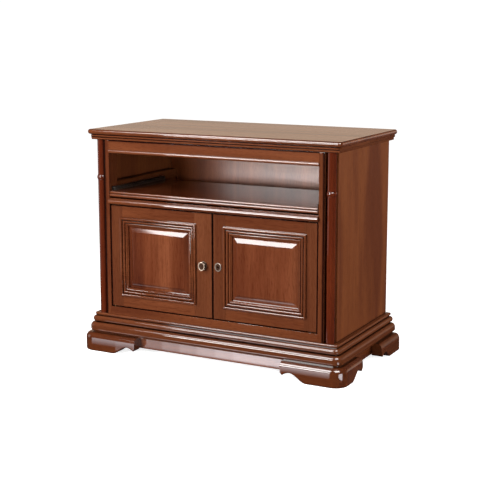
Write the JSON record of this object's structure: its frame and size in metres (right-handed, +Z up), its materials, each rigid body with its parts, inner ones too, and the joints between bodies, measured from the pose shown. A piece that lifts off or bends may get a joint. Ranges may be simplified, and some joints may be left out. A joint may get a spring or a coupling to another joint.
{
  "type": "tv stand",
  "caption": "Low cabinet for a television in glossy stained wood, with an open niche over a pull-out shelf and a cupboard with framed doors on bracket feet.",
  "frame": {"origin": "on the floor, under the middle of the bounding box", "axes": "+X to the right of someone facing the doors, +Y to the back, +Z up"},
  "size_m": [1.064, 0.54, 0.828],
  "materials": {
    "lacquered_wood": "red-brown stain under high-gloss lacquer",
    "top_veneer": "red-brown stain under high-gloss lacquer",
    "inner_board": "stained, satin",
    "plain_wood": "bare, sawn",
    "old_nickel": "aged nickel",
    "brassed_steel": "satin",
    "dark_steel": "black, semi-gloss"
  },
  "bodies": {
    "carcase": {"side_panel_left": "lacquered_wood", "side_panel_right": "lacquered_wood", "corner_post_left": "lacquered_wood", "corner_post_right": "lacquered_wood", "column_left": "lacquered_wood", "column_right": "lacquered_wood", "bottom_panel": "inner_board", "cupboard_top_panel": "inner_board", "upper_panel": "inner_board", "back_panel": "inner_board", "back_panel_screws": "dark_steel", "frieze_rail": "lacquered_wood", "middle_rail": "lacquered_wood", "bottom_rail": "lacquered_wood", "top_board": "top_veneer", "cornice_front": "lacquered_wood", "cornice_left": "lacquered_wood", "cornice_right": "lacquered_wood", "cornice_back_batten": "plain_wood", "base_moulding_front": "lacquered_wood", "base_moulding_left": "lacquered_wood", "base_moulding_right": "lacquered_wood", "base_back_rail": "plain_wood", "apron_front": "lacquered_wood", "apron_left": "lacquered_wood", "apron_right": "lacquered_wood", "foot_front_left": "lacquered_wood", "foot_front_right": "lacquered_wood", "foot_rear_left": "lacquered_wood", "foot_rear_right": "lacquered_wood", "foot_blocks": "plain_wood", "carcase_hinge_leaves": "brassed_steel", "runner_cleats": "inner_board", "runner_outer_members": "dark_steel", "inner_shelf": "inner_board", "shelf_pins": "brassed_steel", "door_stops": "inner_board"},
    "left_door": {"left_door_stiles": "lacquered_wood", "left_door_rails": "lacquered_wood", "left_door_panel": "lacquered_wood", "left_door_moulding": "lacquered_wood", "left_escutcheon": "old_nickel", "lock_case": "dark_steel", "left_door_hinge_leaves": "brassed_steel"},
    "key": {"key": "old_nickel"},
    "lock_bolt": {"lock_bolt": "brassed_steel"},
    "right_door": {"right_door_stiles": "lacquered_wood", "right_door_rails": "lacquered_wood", "right_door_panel": "lacquered_wood", "right_door_moulding": "lacquered_wood", "right_escutcheon": "old_nickel", "strike_plate": "brassed_steel", "slide_bolt_guides": "brassed_steel", "right_door_hinge_leaves": "brassed_steel"},
    "upper_slide_bolt": {"upper_slide_bolt": "brassed_steel"},
    "lower_slide_bolt": {"lower_slide_bolt": "brassed_steel"},
    "pull_out_shelf": {"pull_out_shelf": "lacquered_wood", "shelf_front_lip": "lacquered_wood", "runner_inner_members": "dark_steel"},
    "runner_middle": {"runner_middle_members": "dark_steel"}
  },
  "joints": [
    {"name": "left_door_swing", "type": "hinge", "parent": "carcase", "child": "left_door", "pos_m": [-0.408, -0.22, 0.36225], "axis": [0, 0, -1], "range_deg": [0, 100]},
    {"name": "right_door_swing", "type": "hinge", "parent": "carcase", "child": "right_door", "pos_m": [0.408, -0.22, 0.36225], "axis": [0, 0, 1], "range_deg": [0, 100]},
    {"name": "key_turn", "type": "hinge", "parent": "left_door", "child": "key", "pos_m": [-0.025, -0.227, 0.36225], "axis": [0, -1, 0], "range_deg": [0, 90]},
    {"name": "lock_bolt_slide", "type": "slide", "parent": "left_door", "child": "lock_bolt", "axis": [1, 0, 0], "range_m": [0, 0.012]},
    {"name": "upper_bolt_slide", "type": "slide", "parent": "right_door", "child": "upper_slide_bolt", "axis": [0, 0, 1], "range_m": [0, 0.018]},
    {"name": "lower_bolt_slide", "type": "slide", "parent": "right_door", "child": "lower_slide_bolt", "axis": [0, 0, -1], "range_m": [0, 0.018]},
    {"name": "shelf_slide", "type": "slide", "parent": "carcase", "child": "pull_out_shelf", "axis": [0, -1, 0], "range_m": [0, 0.3]},
    {"name": "runner_middle_slide", "type": "slide", "parent": "carcase", "child": "runner_middle", "axis": [0, -1, 0], "range_m": [0, 0.15]}
  ],
  "couplings": [
    {"joint": "lock_bolt_slide", "follows": "key_turn", "m_per_rad": 0.0076394},
    {"joint": "runner_middle_slide", "follows": "shelf_slide", "ratio": 0.5}
  ]
}
